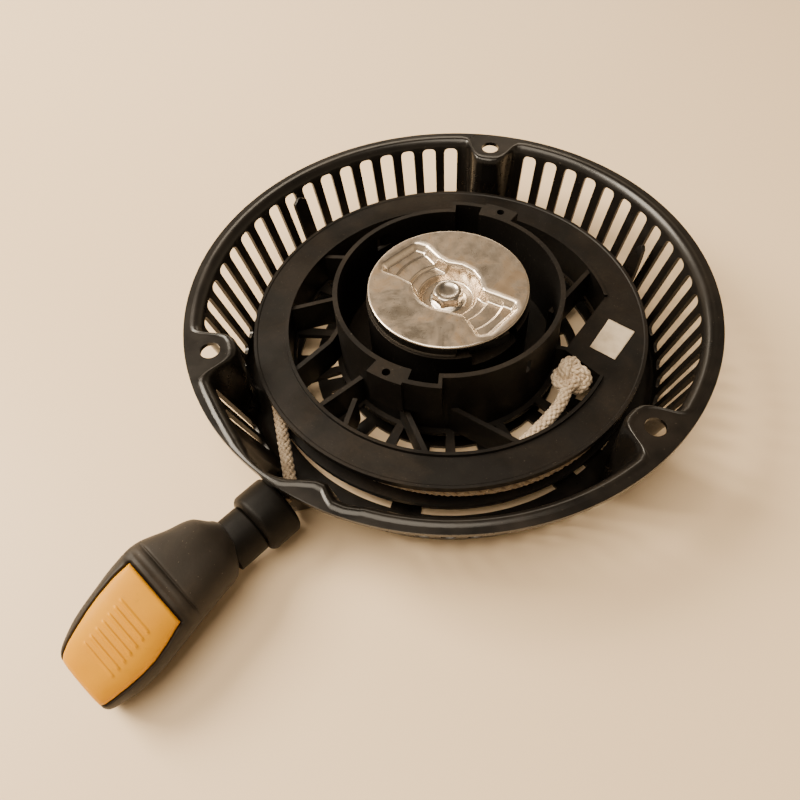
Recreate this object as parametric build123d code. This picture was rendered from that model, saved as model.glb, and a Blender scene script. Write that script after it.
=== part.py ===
from build123d import *
import os
from math import cos, sin, radians, pi, tan, sqrt

# Recoil starter for a small four-stroke engine.
# Frame: origin at the centre of the mounting bolt circle, on the flange face
# that meets the engine. +Z points to the engine, so the housing hangs below it.

os.makedirs("parts", exist_ok=True)

# ---------------------------------------------------------------- dimensions
OD = 196.0             # flange outside diameter
PCD = 177.88           # mounting bolt circle
HOLE_D = 7.2           # mounting holes
HOLE_A = [71.94, 191.94, 311.94]
T = 1.5                # sheet thickness of the pressed housing
Z_FLOOR = -37.0        # inner face of the floor
Z_BASE = Z_FLOOR - T   # outer face of the floor
SLOT_N, SLOT_PITCH, SLOT_FIRST = 17, 6.1, 11.2
PAD_W = 22.0           # width of each bolt pad
PAD_R = 81.0           # how far the pads reach inwards

AXZ = -24.0            # height of the rope and the handle
ROPE_D = 4.5
UX, UY = -0.7455, -0.6665   # direction in which the handle is pulled
WX, WY = 0.6665, -0.7455    # square to it
W0 = 8.1               # offset of the handle's line from the centre
SEAT_S = 96.2          # outer face of the seat for the rope guide
GUIDE_R, GUIDE_END = 11.1, 106.6
LEAD_R = 70.3          # radius at which the rope leaves the winding
LEAD_A = 189.0         # polar angle of that point

REEL_R = 75.0
DRUM_R = 30.5
RING_RO, RING_RI = 42.6, 40.8
POST_R = 7.0
BUSH_R = 9.0
PAWL_R, PAWL_A = 21.0, [100.0, 280.0]
PAWL_PIN_R = 1.55


# ------------------------------------------------------------------- helpers
def rev(pts):
    return revolve(Plane.XZ * make_face(Polyline(*pts, close=True)), Axis.Z)


def cyl(r, z0, z1, x=0, y=0):
    return Pos(x, y, (z0 + z1) / 2) * Cylinder(r, z1 - z0)


def ring(ri, ro, z0, z1):
    return rev([(ri, z0), (ro, z0), (ro, z1), (ri, z1)])


def prism(pts, z0, z1):
    return extrude(Pos(0, 0, z0) * make_face(Polyline(*pts, close=True)), z1 - z0)


def sector(ri, ro, a0, a1, z0, z1, n=None):
    n = n or max(2, int(abs(a1 - a0) / 4) + 1)
    p = lambda r, a: (r * cos(radians(a)), r * sin(radians(a)))
    m = (a0 + a1) / 2
    e = [ThreePointArc(p(ro, a0), p(ro, m), p(ro, a1)), Line(p(ro, a1), p(ri, a1)),
         ThreePointArc(p(ri, a1), p(ri, m), p(ri, a0)), Line(p(ri, a0), p(ro, a0))]
    return extrude(Pos(0, 0, z0) * make_face(e), z1 - z0)


def rod(p0, p1, r):
    v = Vector(*p1) - Vector(*p0)
    pl = Plane(origin=p0, z_dir=(v.X, v.Y, v.Z))
    return extrude(pl * Circle(r), v.length)


def at(s, w=0.0, z=AXZ):
    """Point on the handle's line: s along the pull, w square to it."""
    return (UX * s + WX * (W0 + w), UY * s + WY * (W0 + w), z)


def hplane(s, z=AXZ):
    return Plane(origin=at(s, 0, z), x_dir=(WX, WY, 0), z_dir=(UX, UY, 0))


def hcyl(s0, s1, r):
    return extrude(hplane(s0) * Circle(r), s1 - s0)


def pol(r, a):
    return (r * cos(radians(a)), r * sin(radians(a)))


def one(x):
    """The plain shape of a result."""
    s = x.solids()
    return s[0] if len(s) == 1 else Compound(children=list(s))


parts = {}

# ------------------------------------------------------------------- housing
outer = rev([(0, Z_BASE), (78.0, Z_BASE), (82.2, -36.2), (83.6, -33.0), (93.2, -T),
             (OD / 2, -T), (OD / 2, 0), (0, 0)])
inner = rev([(0, Z_FLOOR), (77.3, Z_FLOOR), (80.7, -35.4), (82.0, -33.0), (91.7, -1.2),
             (92.6, 0), (92.6, 1), (0, 1)])
# the wall bulges out to a flat seat for the rope guide
seat = lambda s, e: [at(80, -11 - e)[:2], at(s, -11 - e)[:2], at(s, 9 + e)[:2],
                     at(87.5, 17 + e)[:2], at(78, 17 + e)[:2]]
outer = outer + prism(seat(SEAT_S, T), Z_BASE, -0.01)
inner = inner + prism(seat(SEAT_S - T, 0), Z_FLOOR, 1)
for a in HOLE_A:
    b = RectangleRounded(19.5, PAD_W, 5.0)
    inner = inner - Rot(0, 0, a) * extrude(Pos(PAD_R + 9.75, 0, -40) * b, 45)
shell = outer - inner
for a in HOLE_A:
    b = RectangleRounded(18.5, PAD_W - 2 * T, 4.0)
    shell = shell - Rot(0, 0, a) * extrude(Pos(PAD_R + T + 9.25, 0, -41) * b, 41 - T)
cuts = []
for a in HOLE_A:
    x, y = pol(PCD / 2, a)
    cuts.append(cyl(HOLE_D / 2, -5, 2, x, y))
# cooling slots in the conical wall
for k in range(3):
    for i in range(SLOT_N):
        a = HOLE_A[k] + SLOT_FIRST + i * SLOT_PITCH
        aa = a % 360
        if 212.0 < aa < 247.0:
            continue
        ca, sa = cos(radians(a)), sin(radians(a))
        pl = Plane(origin=(77 * ca, 77 * sa, 0), x_dir=(-sa, ca, 0), z_dir=(ca, sa, 0))
        cuts.append(extrude(pl * Pos(0, -17.6) * RectangleRounded(5.9, 30.0, 1.7), 24))
# openings in the floor: three rings of arcs
for k in range(3):
    h = HOLE_A[k]
    m = h + 60
    for c in (m - 24.5, m + 24.5):
        cuts.append(sector(69.7, 72.9, c - 20, c + 20, -40, -36))
    for c in (h - 5.9, h + 5.9):
        cuts.append(sector(69.7, 72.9, c - 2.15, c + 2.15, -40, -36))
for k in range(12):
    c = 11.94 + 30 * k
    cuts.append(sector(54.0, 61.0, c - 11.5, c + 11.5, -40, -36))
    c = 26.94 + 30 * k
    cuts.append(sector(44.0, 50.0, c - 11.5, c + 11.5, -40, -36))
cuts.append(sector(74.5, 79.0, 247.5, 253.0, -42, -34.5))
cuts.append(hcyl(SEAT_S - 4, SEAT_S + 2, 4.45))
cuts.append(cyl(5.0, -42, -36))
shell = shell - cuts
# two upright lugs beside the reel, leaning with the wall
for a, w, top, rt in ((130.0, 6.4, -3.0, 85.6), (16.5, 6.0, -8.5, 84.2)):
    lug = Plane.XZ * make_face(Polyline((76.4, Z_FLOOR - 0.3), (78.0, Z_FLOOR - 0.3), (rt + 1.5, top), (rt, top), close=True))
    lug = extrude(lug, w / 2, both=True)
    shell = shell + Rot(0, 0, a) * lug
parts["housing"] = shell

# --------------------------------------------------------- rope outlet pieces
ey = (extrude(hplane(SEAT_S - T - 1.5) * Circle(6.6), 1.5)
      + hcyl(SEAT_S - T - 1.5, SEAT_S + 1.8, 4.4)) - hcyl(SEAT_S - 8, SEAT_S + 5, 3.05)
parts["rope_eyelet"] = ey
g = hcyl(SEAT_S, GUIDE_END, GUIDE_R)
ge = [e for e in g.edges().filter_by(GeomType.CIRCLE)
      if (e.arc_center - Vector(*at(GUIDE_END))).length < 0.5]
g = fillet(ge, 2.6)
g = g - hcyl(SEAT_S - 1, SEAT_S + 1.9, 4.5) - hcyl(SEAT_S - 1, GUIDE_END + 1, 3.1)
parts["rope_guide"] = g

# ------------------------------------------------------------ post and spring
post = rev([(0, Z_BASE), (5.0, Z_BASE), (5.0, Z_FLOOR), (POST_R, Z_FLOOR), (POST_R, -9.2),
            (5.0, -9.2), (5.0, -5.2), (0, -5.2)]) - cyl(3.0, -20, 0)
parts["centre_post"] = post
parts["reel_bush"] = ring(POST_R + 0.05, BUSH_R, -36.0, -9.4)
parts["thrust_washer"] = ring(5.05, 11.4, -9.2, -8.4)
fs = ring(5.2, 9.2, -8.4, -7.9)
for k in range(3):
    a = 120 * k + 20
    tab = Plane.XZ * make_face(Polyline((6.2, -7.95), (8.8, -7.95), (8.8, -7.45), (6.2, -7.45), close=True))
    leaf = extrude(Plane.XZ * make_face(Polyline((-1.5, -8.2), (-1.0, -8.2), (4.2, -5.7), (3.8, -5.3), close=True)), 2.0, both=True)
    fs = fs + Rot(0, 0, a) * (Pos(0, 7.4, 0) * leaf)
parts["friction_spring"] = fs

# flat spiral spring: half circles whose radius grows by half a pitch each
SP_R0, SP_P, SP_T, SP_N = 12.6, 1.75, 0.6, 26
ein, eout = [], []
x_in, x_out = SP_R0, SP_R0 + SP_T
for i in range(SP_N):
    sgn = 1 if i % 2 == 0 else -1
    r = SP_R0 + i * SP_P / 2 + SP_P / 4
    c = -sgn * SP_P / 4
    p0, p1 = sgn * (r + sgn * 0) + c + 0, 0
    a0 = 0 if sgn == 1 else 180
    q = lambda rr, a: (c + rr * cos(radians(a)), rr * sin(radians(a)))
    ein.append(ThreePointArc(q(r, a0), q(r, a0 + 90), q(r, a0 + 180)))
    eout.append(ThreePointArc(q(r + SP_T, a0), q(r + SP_T, a0 + 90), q(r + SP_T, a0 + 180)))
ends = [Line(ein[0] @ 0, eout[0] @ 0), Line(ein[-1] @ 1, eout[-1] @ 1)]
parts["recoil_spring"] = extrude(Pos(0, 0, -35.6) * make_face(ein + eout + ends), 5.8)
parts["spring_cover"] = ring(12.0, 36.95, -36.8, -36.0)

# ---------------------------------------------------------------------- reel
reel = rev([(BUSH_R, -34.0), (11.5, -34.0), (11.5, -29.0), (37.0, -29.0), (37.0, -36.8),
            (39.0, -36.8), (39.0, -29.0), (74.0, -29.0), (74.0, -27.0), (63.5, -27.0),
            (63.5, -16.4), (REEL_R, -16.0), (REEL_R, -13.6), (73.9, -13.6), (73.5, -13.9),
            (62.9, -13.9), (62.7, -12.7), (61.5, -12.7), (61.5, -27.0), (RING_RO, -27.0),
            (RING_RO, 3.6), (RING_RI, 3.6), (RING_RI, -27.0), (DRUM_R, -27.0),
            (DRUM_R, -1.5), (12.2, -1.5), (12.2, -9.3), (BUSH_R, -9.3)])
reel = reel - ring(14.0, 27.5, -29.5, -12.0)
# windows in the web between the ring wall and the rope drum
web = []
for k in range(9):
    web.append(sector(44.6, 60.6, 121 + 24.0 * k + 2, 121 + 24.0 * k + 22, -30, -26))
for k in range(3):
    web.append(sector(44.6, 60.6, 20 + 34.0 * k + 2, 20 + 34.0 * k + 30, -30, -26))
web.append(sector(44.6, 60.6, -14, 16, -30, -26))
reel = reel - web
# ears and side pockets of the ring wall
for h in (0, 180):
    ear = sector(RING_RI + 0.2, 48.2, 229 + h, 245 + h, -12, 3.6) - cyl(1.5, -6, 5, *pol(45.2, 236.5 + h))
    bul = sector(RING_RI + 0.2, 47.0, 245 + h, 261.5 + h, -12, 3.6)
    reel = reel + ear + bul
    reel = reel - sector(30.6, 45.2, 246.6 + h, 259.8 + h, -10.4, 5)


# slanted ribs, each along its own line
def rib(p, q, z0=-27.0, z1=-14.0, t=1.8):
    dx, dy = q[0] - p[0], q[1] - p[1]
    n = sqrt(dx * dx + dy * dy)
    nx, ny = -dy / n * t / 2, dx / n * t / 2
    return prism([(p[0] + nx, p[1] + ny), (q[0] + nx, q[1] + ny),
                  (q[0] - nx, q[1] - ny), (p[0] - nx, p[1] - ny)], z0, z1)


RIBS = [((-23.0, 35.6), (-47.2, 40.0)), ((-38.8, 16.4), (-61.0, 11.9)),
        ((-41.3, 1.2), (-45.8, -6.8)), ((-45.8, -6.8), (-59.0, -19.2)),
        ((-33.9, -24.8), (-50.2, -36.7)), ((-37.0, -34.6), (-41.4, -46.9)),
        ((-20.6, -36.6), (-13.6, -60.4)), ((-3.6, -41.6), (18.6, -59.2)),
        ((39.5, -1.4), (59.2, 19.4)), ((22.0, 35.6), (30.8, 53.6)),
        ((2.0, 41.8), (-2.0, 61.8)), ((38.0, -18.6), (43.6, -20.6))]
for p, q in RIBS:
    reel = reel + rib(p, q)
# solid plate on one side
reel = reel + prism([(62.3, 4.3), (41.8, -20.0), (53.4, -34.9), (60.5, -17.0), (62.6, -6.0)], -15.9, -13.9)
reel = reel + rib((41.8, -20.0), (53.0, -34.4), -24, -13.9, 1.6)
reel = reel - sector(60.9, 63.0, -33.5, 3.6, -13.9, -12.0)
# hole for the rope's end, pockets for the pawls, holes for their pins
TAIL = [(36.2, -41.6, -14.5), (28.4, -50.0, -17.0), (18.2, -57.6, -19.5)]
tv = Vector(*TAIL[2]) - Vector(*TAIL[1])
tv = tv / tv.length
reel = reel - rod((TAIL[2][0] - tv.X * 4, TAIL[2][1] - tv.Y * 4, TAIL[2][2] - tv.Z * 4),
                  (TAIL[2][0] + tv.X * 7, TAIL[2][1] + tv.Y * 7, TAIL[2][2] + tv.Z * 8), 3.3)
for a in PAWL_A:
    loc = Rot(0, 0, a) * Pos(PAWL_R, 0, 0)
    pk = [(4.6, 0.0), (-4.6, 0.0), (-2.4, 18.8), (18, 18.8), (18, 2.6), (7.5, -0.6)]
    pocket = extrude(Pos(0, 0, -6.5) * make_face(Polyline(*pk, close=True)), 6)
    reel = reel - loc * pocket - loc * cyl(4.7, -6.5, 0) - loc * cyl(PAWL_PIN_R, -11, -6)
parts["reel"] = reel

pin = None
for a in PAWL_A:
    x, y = pol(PAWL_R, a)
    c = cyl(PAWL_PIN_R, -11, -1.9, x, y)
    pin = [c] if pin is None else pin + [c]
parts["pawl_pins"] = Compound(children=pin)

for nm, a in zip(("pawl_a", "pawl_b"), PAWL_A):
    body = prism([(3.9, 0.6), (-3.6, 1.6), (-0.9, 15.9), (2.3, 16.4), (3.6, 12.0)], -6.4, -2.4)
    body = body + cyl(3.9, -6.4, -2.4)
    body = body - cyl(PAWL_PIN_R + 0.05, -8, 0)
    parts[nm] = Rot(0, 0, a) * (Pos(PAWL_R, 0, 0) * body)

sp = []
for a in PAWL_A:
    r = ring(1.9, 2.7, -2.25, -1.65)
    r = r + Pos(-3.2, -0.0, -1.95) * Box(1.8, 0.7, 0.6)
    sp.append(one(Rot(0, 0, a) * (Pos(PAWL_R, 0, 0) * r)))
parts["pawl_springs"] = Compound(children=sp)

# -------------------------------------------------------------- ratchet guide
GT = 1.2
gd = cyl(29.8, -1.2, 3.7) + cyl(11.6, -5.1, 0)
under = cyl(28.6, -2, 3.7 - GT) - cyl(11.6, -6, 5)
top = cyl(10.4, -3.9, 5)
WING = [(6.0, -8.2), (19.0, -8.2), (24.6, -10.4), (24.6, 10.4), (19.0, 8.2), (6.0, 8.2)]
WINO = [(5.0, -9.4), (18.7, -9.4), (25.8, -12.0), (25.8, 12.0), (18.7, 9.4), (5.0, 9.4)]
for a in (135, 315):
    under = under - Rot(0, 0, a) * prism(WINO, 0.7 - GT, 5)
    top = top + Rot(0, 0, a) * prism(WING, 0.7, 5)
gd = gd - under - top - cyl(3.15, -6, 5)
for a in (135, 315):
    gd = gd - sector(27.0, 31.0, a - 38, a + 38, -2, 2.4)
parts["ratchet_guide"] = gd

hexa = extrude(Pos(0, 0, -2.6) * RegularPolygon(5.05, 6, major_radius=False), 3.8)
screw = cyl(7.0, -3.85, -2.6) + hexa + cyl(2.95, -16.5, -3.5)
parts["centre_screw"] = screw

# ---------------------------------------------------------------------- rope
wd = rev([(64.2, -26.6), (71.6, -26.6), (72.5, -25.6), (72.5, -18.0), (71.6, -17.0),
          (64.2, -17.0), (63.7, -17.6), (63.7, -26.0)])
parts["rope_winding"] = wd

tx, ty = pol(LEAD_R, LEAD_A)
dx, dy = cos(radians(LEAD_A + 90)), sin(radians(LEAD_A + 90))
L0 = (tx + dx * 26.5, ty + dy * 26.5)
# where the straight lead meets the handle's line
den = dx * UY - dy * UX
ox, oy = at(0)[0] - tx, at(0)[1] - ty
t_int = (ox * UY - oy * UX) / den
LI = (tx + dx * t_int, ty + dy * t_int)
L1 = at(GUIDE_END + 0.1)[:2]
LEAD_BEND = 7.5
path = FilletPolyline((L0[0], L0[1], AXZ), (LI[0], LI[1], AXZ), (L1[0], L1[1], AXZ), radius=LEAD_BEND)
start = Plane(origin=path @ 0, z_dir=path % 0)
parts["rope_lead"] = sweep(start * Circle(ROPE_D / 2), path=path)
print("rope lead length", round(path.length, 1), "bend radius", LEAD_BEND,
      "volume ratio", round(parts["rope_lead"].volume / (pi * ROPE_D ** 2 / 4 * path.length), 4))

tpath = FilletPolyline(TAIL[0], TAIL[1], TAIL[2], radius=40)
tst = Plane(origin=tpath @ 0, z_dir=tpath % 0)
parts["rope_tail"] = sweep(tst * Circle(ROPE_D / 2), path=tpath)
print("rope tail length", round(tpath.length, 1))

kn = Pos(40.2, -35.6, -13.2) * Sphere(7.0)
kn = kn - rod(TAIL[1], (TAIL[0][0] * 1.06, TAIL[0][1] * 0.98, TAIL[0][2] + 0.6), 2.3)
parts["reel_knot"] = kn.solids().sort_by(SortBy.VOLUME)[-1]

# -------------------------------------------------------------------- handle
GAP = 0.3
HS = GUIDE_END + GAP
neck = hcyl(HS, 126, 8.75)
ROLL = 23.3               # the grip lies a little rolled about its own line
# distance, sideways offset, height, width, thickness, corner radius
secs = [(116.5, -2.82, -23.22, 15.7, 21.5, 7.2),
        (120.5, -2.33, -22.42, 23.9, 24.6, 9.5),
        (128.0, -2.24, -21.62, 27.4, 26.8, 10.7),
        (138.0, -2.69, -21.12, 32.0, 28.0, 11.2),
        (146.0, -1.53, -21.32, 32.7, 28.0, 11.2),
        (155.0, 0.20, -22.22, 31.9, 27.2, 10.9),
        (164.0, 1.36, -23.42, 29.7, 25.6, 10.2),
        (170.5, 2.06, -24.20, 25.2, 22.8, 9.0),
        (173.2, 2.45, -24.80, 22.2, 20.0, 8.6),
        (174.2, 2.60, -24.95, 18.6, 16.6, 7.6)]
ROLL_SIGN, INS_X = -1, 0.3
faces = [hplane(q[0], q[2]) * Pos(q[1], 0) * Rot(0, 0, ROLL_SIGN * ROLL) * RectangleRounded(q[3], q[4], q[5]) for q in secs]
grip = neck + loft(faces)
cut = extrude(hplane(143.0, -21.4) * Pos(INS_X, 0) * Rot(0, 0, ROLL_SIGN * ROLL) * Pos(0, 19.8) * Rectangle(26.0, 20.0), 45)
ins = grip & cut
grip = grip - cut - hcyl(HS - 1, 130, 2.6) - hcyl(124.5, 141.5, 8.5)
parts["handle_body"] = grip
parts["handle_insert"] = ins
core = hcyl(124.5, 141.4, 8.45) - hcyl(126.5, 142.4, 7.2) - hcyl(123, 127.5, 2.6)
parts["handle_core"] = core
parts["handle_washer"] = hcyl(126.5, 127.9, 7.0) - hcyl(125, 129, 2.6)
kx = at(133.2)
hk = (Pos(*kx) * Sphere(5.4)) - hcyl(118, 128.9, 2.35)
parts["handle_knot"] = hk.solids().sort_by(SortBy.VOLUME)[-1]
parts["rope_handle_run"] = hcyl(HS, 128.8, ROPE_D / 2)

# --------------------------------------------------------------------- label
parts["label"] = prism([(60.6, -7.6), (68.6, -15.0), (58.2, -27.2), (50.6, -20.2)], -13.88, -13.74)

for name, shape in parts.items():
    s = one(shape)
    s.label = name
    export_step(s, "parts/" + name + ".step")
print(len(parts), "nodes")
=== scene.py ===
import bpy
import bmesh
import math
import numpy as np
from mathutils import Vector, Matrix


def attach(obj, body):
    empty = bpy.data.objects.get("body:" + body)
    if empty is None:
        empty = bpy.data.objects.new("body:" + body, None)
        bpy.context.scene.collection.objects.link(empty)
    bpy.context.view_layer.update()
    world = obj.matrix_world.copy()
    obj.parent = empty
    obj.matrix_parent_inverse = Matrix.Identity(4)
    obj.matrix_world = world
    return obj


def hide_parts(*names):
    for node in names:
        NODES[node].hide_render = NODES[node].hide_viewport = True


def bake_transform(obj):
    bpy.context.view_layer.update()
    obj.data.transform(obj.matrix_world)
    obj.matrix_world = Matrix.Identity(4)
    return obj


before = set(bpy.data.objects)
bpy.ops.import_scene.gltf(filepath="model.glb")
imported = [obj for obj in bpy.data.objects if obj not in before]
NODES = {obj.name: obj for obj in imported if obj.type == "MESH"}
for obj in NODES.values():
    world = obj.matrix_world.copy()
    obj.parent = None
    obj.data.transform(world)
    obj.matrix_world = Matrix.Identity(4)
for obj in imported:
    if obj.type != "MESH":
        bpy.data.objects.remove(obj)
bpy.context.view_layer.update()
scene = bpy.context.scene
MM = 0.001
rad = math.radians

# --------------------------------------------------------------- shared sizes
AXZ = -24.0
U = np.array([-0.7455, -0.6665])
U = U / np.linalg.norm(U)
W = np.array([-U[1], U[0]])      # square to U, see sign below
if W[0] < 0:
    W = -W
W0 = 8.1
SEAT_S = 96.2
GUIDE_END = 106.6
LEAD_R, LEAD_A = 70.3, 189.0
HOLE_A = [71.94, 191.94, 311.94]
ROPE_R = 2.25


def hp(s, w=0.0, z=AXZ):
    """Point on the handle's line, mm."""
    q = U * s + W * (W0 + w)
    return np.array([q[0], q[1], z])


# ------------------------------------------------------------------ materials
def new_mat(name):
    m = bpy.data.materials.new(name)
    m.use_nodes = True
    nt = m.node_tree
    nt.nodes.clear()
    out = nt.nodes.new("ShaderNodeOutputMaterial")
    b = nt.nodes.new("ShaderNodeBsdfPrincipled")
    nt.links.new(b.outputs["BSDF"], out.inputs["Surface"])
    return m, nt, b


def setin(node, **kw):
    for k, v in kw.items():
        node.inputs[k.replace("_", " ")].default_value = v


def coords(nt, scale=(1, 1, 1), kind="Object"):
    tc = nt.nodes.new("ShaderNodeTexCoord")
    mp = nt.nodes.new("ShaderNodeMapping")
    mp.inputs["Scale"].default_value = scale
    nt.links.new(tc.outputs[kind], mp.inputs["Vector"])
    return mp.outputs["Vector"]


def noise_n(nt, vec, scale, detail=4.0, rough=0.55, dist=0.0):
    n = nt.nodes.new("ShaderNodeTexNoise")
    n.inputs["Scale"].default_value = scale
    n.inputs["Detail"].default_value = detail
    n.inputs["Roughness"].default_value = rough
    n.inputs["Distortion"].default_value = dist
    nt.links.new(vec, n.inputs["Vector"])
    return n.outputs["Fac"]


def ramp(nt, fac, stops):
    r = nt.nodes.new("ShaderNodeValToRGB")
    el = r.color_ramp.elements
    while len(el) < len(stops):
        el.new(0.5)
    for e, (p, c) in zip(el, stops):
        e.position = p
        e.color = (c[0], c[1], c[2], 1) if not isinstance(c, (int, float)) else (c, c, c, 1)
    nt.links.new(fac, r.inputs["Fac"])
    return r.outputs["Color"]


def mix(nt, fac, a, b, kind="MIX"):
    m = nt.nodes.new("ShaderNodeMix")
    m.data_type = "RGBA"
    m.blend_type = kind
    for sock, v in ((m.inputs[0], fac), (m.inputs[6], a), (m.inputs[7], b)):
        if isinstance(v, (int, float)):
            sock.default_value = v
        elif isinstance(v, tuple):
            sock.default_value = (v[0], v[1], v[2], 1)
        else:
            nt.links.new(v, sock)
    return m.outputs[2]


def math_n(nt, op, a, b=0.0, clamp=False):
    m = nt.nodes.new("ShaderNodeMath")
    m.operation = op
    m.use_clamp = clamp
    for sock, v in ((m.inputs[0], a), (m.inputs[1], b)):
        if isinstance(v, (int, float)):
            sock.default_value = v
        else:
            nt.links.new(v, sock)
    return m.outputs[0]


def bump(nt, b, height, strength=0.3, dist=0.0002, prev=None):
    n = nt.nodes.new("ShaderNodeBump")
    n.inputs["Strength"].default_value = strength
    n.inputs["Distance"].default_value = dist
    nt.links.new(height, n.inputs["Height"])
    if prev is not None:
        nt.links.new(prev, n.inputs["Normal"])
    nt.links.new(n.outputs["Normal"], b.inputs["Normal"])
    return n.outputs["Normal"]


def up_mask(nt, lo=0.3, hi=0.95):
    g = nt.nodes.new("ShaderNodeNewGeometry")
    s = nt.nodes.new("ShaderNodeSeparateXYZ")
    nt.links.new(g.outputs["Normal"], s.inputs[0])
    return ramp(nt, s.outputs["Z"], [(lo, 0.0), (hi, 1.0)])


def m_paint():
    m, nt, b = new_mat("black_gloss_paint")
    v = coords(nt)
    dust = ramp(nt, noise_n(nt, v, 38, 6, 0.62), [(0.42, 0.0), (0.72, 1.0)])
    film = math_n(nt, "MULTIPLY", dust, up_mask(nt, 0.2, 0.98))
    col = mix(nt, film, (0.0050, 0.0041, 0.0034), (0.0140, 0.0102, 0.0072))
    specks = ramp(nt, noise_n(nt, v, 1900, 2, 0.5), [(0.745, 0.0), (0.775, 1.0)])
    col = mix(nt, math_n(nt, "MULTIPLY", specks, 0.55), col, (0.32, 0.27, 0.22))
    nt.links.new(col, b.inputs["Base Color"])
    r = mix(nt, film, (0.25, 0.25, 0.25), (0.37, 0.37, 0.37))
    nt.links.new(math_n(nt, "ADD", r, math_n(nt, "MULTIPLY", noise_n(nt, v, 260, 3), 0.06)), b.inputs["Roughness"])
    setin(b, Specular_IOR_Level=0.38, Coat_Weight=0.10, Coat_Roughness=0.12)
    peel = noise_n(nt, v, 620, 2, 0.5)
    wave = noise_n(nt, v, 55, 2, 0.5)
    bump(nt, b, math_n(nt, "ADD", math_n(nt, "MULTIPLY", peel, 0.25), wave), 0.22, 0.0004)
    return m


def m_nylon(name="black_nylon", base=(0.0050, 0.0040, 0.0032), dusty=(0.0230, 0.0158, 0.0100)):
    m, nt, b = new_mat(name)
    v = coords(nt)
    big = noise_n(nt, v, 26, 5, 0.6, 0.6)
    fine = noise_n(nt, v, 900, 4, 0.65)
    dust = ramp(nt, big, [(0.40, 0.05), (0.72, 1.0)])
    film = math_n(nt, "MULTIPLY", dust, up_mask(nt, 0.55, 1.0))
    col = mix(nt, film, base, dusty)
    col = mix(nt, ramp(nt, fine, [(0.35, 0.0), (0.75, 0.6)]), col, (0.004, 0.0035, 0.003), "MIX")
    specks = ramp(nt, noise_n(nt, v, 2600, 1, 0.5), [(0.76, 0.0), (0.79, 1.0)])
    col = mix(nt, math_n(nt, "MULTIPLY", specks, 0.5), col, (0.25, 0.21, 0.17))
    nt.links.new(col, b.inputs["Base Color"])
    nt.links.new(ramp(nt, noise_n(nt, v, 70, 5, 0.6), [(0.3, 0.40), (0.75, 0.60)]), b.inputs["Roughness"])
    setin(b, Specular_IOR_Level=0.22)
    n1 = bump(nt, b, fine, 0.35, 0.00012)
    bump(nt, b, noise_n(nt, v, 120, 3, 0.5), 0.12, 0.0004, n1)
    return m


def m_zinc(name="zinc_plate", base=(0.80, 0.70, 0.585), stain=(0.40, 0.295, 0.20), amount=1.0):
    m, nt, b = new_mat(name)
    v = coords(nt)
    cloud = noise_n(nt, v, 75, 7, 0.68, 0.8)
    cloud2 = noise_n(nt, coords(nt, (1.6, 0.7, 1)), 46, 6, 0.65, 0.4)
    st = ramp(nt, cloud, [(0.40, 0.0), (0.60, 1.0)])
    st2 = ramp(nt, cloud2, [(0.42, 0.0), (0.64, 0.9)])
    both = math_n(nt, "MULTIPLY", math_n(nt, "MAXIMUM", st, st2), amount, True)
    flat = up_mask(nt, 0.90, 0.995)
    both = math_n(nt, "MULTIPLY", both, flat)
    col = mix(nt, both, base, stain)
    pits = ramp(nt, noise_n(nt, v, 1500, 2, 0.5), [(0.27, 1.0), (0.31, 0.0)])
    col = mix(nt, math_n(nt, "MULTIPLY", pits, 0.7), col, (0.08, 0.06, 0.045))
    nt.links.new(col, b.inputs["Base Color"])
    setin(b, Metallic=1.0)
    rr = mix(nt, both, (0.20, 0.20, 0.20), (0.47, 0.47, 0.47))
    nt.links.new(math_n(nt, "ADD", rr, math_n(nt, "MULTIPLY", noise_n(nt, v, 420, 3), 0.10)), b.inputs["Roughness"])
    scr = noise_n(nt, coords(nt, (14, 1, 1)), 260, 3, 0.6)
    n1 = bump(nt, b, scr, 0.10, 0.00008)
    bump(nt, b, noise_n(nt, v, 110, 3, 0.5), 0.20, 0.0003, n1)
    return m


def m_steel(name, base, rough=0.35):
    m, nt, b = new_mat(name)
    v = coords(nt)
    col = mix(nt, ramp(nt, noise_n(nt, v, 160, 5, 0.6), [(0.35, 0.0), (0.7, 1.0)]), base, tuple(c * 0.6 for c in base))
    nt.links.new(col, b.inputs["Base Color"])
    setin(b, Metallic=1.0)
    nt.links.new(ramp(nt, noise_n(nt, v, 300, 3), [(0.3, rough - 0.08), (0.7, rough + 0.1)]), b.inputs["Roughness"])
    bump(nt, b, noise_n(nt, coords(nt, (1, 1, 9)), 500, 3), 0.12, 0.0001)
    return m


def m_rope(name="rope_fibre", tint=(0.76, 0.62, 0.45), dark=(0.34, 0.235, 0.145)):
    m, nt, b = new_mat(name)
    v = coords(nt)
    col = mix(nt, ramp(nt, noise_n(nt, v, 240, 5, 0.65), [(0.36, 0.0), (0.78, 1.0)]), tint, dark)
    yarn = noise_n(nt, v, 5200, 3, 0.6)
    col = mix(nt, math_n(nt, "MULTIPLY", ramp(nt, yarn, [(0.3, 0.0), (0.7, 1.0)]), 0.35), col, dark)
    nt.links.new(col, b.inputs["Base Color"])
    setin(b, Roughness=0.55, Sheen_Weight=0.35, Sheen_Roughness=0.4, Specular_IOR_Level=0.4)
    bump(nt, b, yarn, 0.4, 0.00008)
    return m


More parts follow.
